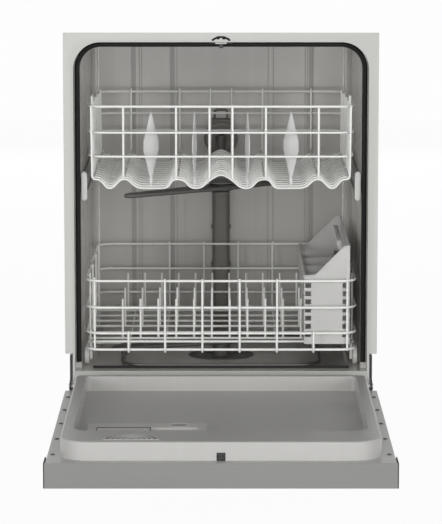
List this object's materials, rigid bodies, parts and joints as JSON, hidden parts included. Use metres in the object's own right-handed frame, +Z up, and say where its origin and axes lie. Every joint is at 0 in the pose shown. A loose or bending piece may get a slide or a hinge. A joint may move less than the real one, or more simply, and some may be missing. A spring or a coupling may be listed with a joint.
{
  "type": "built-in dishwasher",
  "caption": "front-opening built-in dishwasher with drop-down door, two sliding wire racks, spray arms, silverware basket and dispenser",
  "frame": {"origin": "on the floor under the middle of the box of the machine with its door open", "axes": "+X to the right seen from the front, +Y from the open door into the tub, +Z up"},
  "size_m": [0.606, 1.23, 0.86],
  "materials": {
    "tub_grey": "satin moulded grey",
    "black_rubber": "matt",
    "black_plastic": "satin",
    "zinc_steel": "zinc plated",
    "painted_panel": "satin black paint",
    "foot_plastic": "matt",
    "dark_plastic": "satin moulded",
    "heater_steel": "dull",
    "door_steel": "brushed along the width",
    "liner_grey": "satin moulded grey",
    "board_green": "satin",
    "button_grey": "satin",
    "rack_vinyl": "soft gloss coating",
    "white_plastic": "satin moulded"
  },
  "bodies": {
    "tub": {"tub": "tub_grey", "door_gasket": "black_rubber", "lower_lip_seal": "black_rubber", "latch_strike": "black_plastic", "base_frame": "zinc_steel", "access_panel": "painted_panel", "toe_kick": "painted_panel", "front_feet": "foot_plastic", "rear_feet": "foot_plastic", "hinge_leg_left": "zinc_steel", "hinge_leg_right": "zinc_steel", "hinge_pins": "zinc_steel", "sump": "tub_grey", "filter": "dark_plastic", "lower_arm_cap": "dark_plastic", "heater": "heater_steel", "feed_tube": "tub_grey", "feed_dock": "tub_grey", "wash_motor": "dark_plastic", "drain_pump": "dark_plastic", "water_valve": "dark_plastic", "junction_box": "dark_plastic", "tub_rollers": "dark_plastic"},
    "door": {"door_panel": "door_steel", "door_liner": "liner_grey", "console": "door_steel", "handle_pocket": "black_plastic", "control_board": "board_green", "dispenser": "liner_grey", "vent_grille": "liner_grey", "door_latch": "black_plastic", "door_screws": "zinc_steel", "hinge_arm_left": "zinc_steel", "hinge_arm_right": "zinc_steel", "console_ends": "black_plastic"},
    "detergent_lid": {"detergent_lid": "liner_grey"},
    "rinse_cap": {"rinse_cap": "liner_grey"},
    "lower_rack": {"lower_rack_frame": "rack_vinyl", "silverware_basket": "white_plastic"},
    "lower_arm": {"lower_spray_arm": "dark_plastic"},
    "upper_rack": {"upper_rack_frame": "rack_vinyl", "upper_rack_floor": "rack_vinyl", "item_clips": "white_plastic", "upper_rack_wheels": "white_plastic", "rack_feed": "dark_plastic", "upper_arm_cap": "dark_plastic"},
    "upper_arm": {"upper_spray_arm": "dark_plastic"},
    "rails": {"rail_left": "zinc_steel", "rail_right": "zinc_steel", "rail_stops": "white_plastic"},
    "rack_wheel_front_left": {"rack_wheel_front_left": "white_plastic"},
    "rack_wheel_rear_left": {"rack_wheel_rear_left": "white_plastic"},
    "rack_wheel_front_right": {"rack_wheel_front_right": "white_plastic"},
    "rack_wheel_rear_right": {"rack_wheel_rear_right": "white_plastic"},
    "button_1": {"button_1": "button_grey"},
    "button_2": {"button_2": "button_grey"},
    "button_3": {"button_3": "button_grey"},
    "button_4": {"button_4": "button_grey"}
  },
  "joints": [
    {"name": "door_swing", "type": "hinge", "parent": "tub", "child": "door", "pos_m": [0, 0.055, 0.178], "axis": [-1, 0, 0], "range_deg": [0, 90]},
    {"name": "lower_rack_slide", "type": "slide", "parent": "tub", "child": "lower_rack", "axis": [0, 1, 0], "range_m": [-0.585, 0]},
    {"name": "upper_rack_slide", "type": "slide", "parent": "tub", "child": "upper_rack", "axis": [0, 1, 0], "range_m": [-0.42, 0]},
    {"name": "rail_slide", "type": "slide", "parent": "tub", "child": "rails", "axis": [0, 1, 0], "range_m": [-0.21, 0]},
    {"name": "lower_arm_spin", "type": "hinge", "parent": "tub", "child": "lower_arm", "pos_m": [0, 0.335, 0.219], "axis": [0, 0, 1], "continuous": true},
    {"name": "upper_arm_spin", "type": "hinge", "parent": "upper_rack", "child": "upper_arm", "pos_m": [0, 0.316, 0.534], "axis": [0, 0, 1], "continuous": true},
    {"name": "lid_slide", "type": "slide", "parent": "door", "child": "detergent_lid", "axis": [1, 0, 0], "range_m": [0, 0.085]},
    {"name": "cap_turn", "type": "hinge", "parent": "door", "child": "rinse_cap", "pos_m": [-0.075, -0.362, 0.187], "axis": [0, 0, 1], "range_deg": [-90, 0]},
    {"name": "rack_wheel_front_left_spin", "type": "hinge", "parent": "lower_rack", "child": "rack_wheel_front_left", "pos_m": [-0.261, 0.133, 0.2263], "axis": [1, 0, 0], "range_deg": [-10, 1880]},
    {"name": "rack_wheel_rear_left_spin", "type": "hinge", "parent": "lower_rack", "child": "rack_wheel_rear_left", "pos_m": [-0.261, 0.518, 0.2263], "axis": [1, 0, 0], "range_deg": [-10, 1880]},
    {"name": "rack_wheel_front_right_spin", "type": "hinge", "parent": "lower_rack", "child": "rack_wheel_front_right", "pos_m": [0.261, 0.133, 0.2263], "axis": [1, 0, 0], "range_deg": [-10, 1880]},
    {"name": "rack_wheel_rear_right_spin", "type": "hinge", "parent": "lower_rack", "child": "rack_wheel_rear_right", "pos_m": [0.261, 0.518, 0.2263], "axis": [1, 0, 0], "range_deg": [-10, 1880]},
    {"name": "button_1_press", "type": "slide", "parent": "door", "child": "button_1", "axis": [0, 0, 1], "range_m": [0, 0.0012], "stiffness_N_per_m": 300, "springref_m": -0.0004},
    {"name": "button_2_press", "type": "slide", "parent": "door", "child": "button_2", "axis": [0, 0, 1], "range_m": [0, 0.0012], "stiffness_N_per_m": 300, "springref_m": -0.0004},
    {"name": "button_3_press", "type": "slide", "parent": "door", "child": "button_3", "axis": [0, 0, 1], "range_m": [0, 0.0012], "stiffness_N_per_m": 300, "springref_m": -0.0004},
    {"name": "button_4_press", "type": "slide", "parent": "door", "child": "button_4", "axis": [0, 0, 1], "range_m": [0, 0.0012], "stiffness_N_per_m": 300, "springref_m": -0.0004}
  ],
  "couplings": [
    {"joint": "rail_slide", "follows": "upper_rack_slide", "ratio": 0.5},
    {"joint": "rack_wheel_front_left_spin", "follows": "lower_rack_slide", "rad_per_m": -55.556},
    {"joint": "rack_wheel_rear_left_spin", "follows": "lower_rack_slide", "rad_per_m": -55.556},
    {"joint": "rack_wheel_front_right_spin", "follows": "lower_rack_slide", "rad_per_m": -55.556},
    {"joint": "rack_wheel_rear_right_spin", "follows": "lower_rack_slide", "rad_per_m": -55.556}
  ]
}
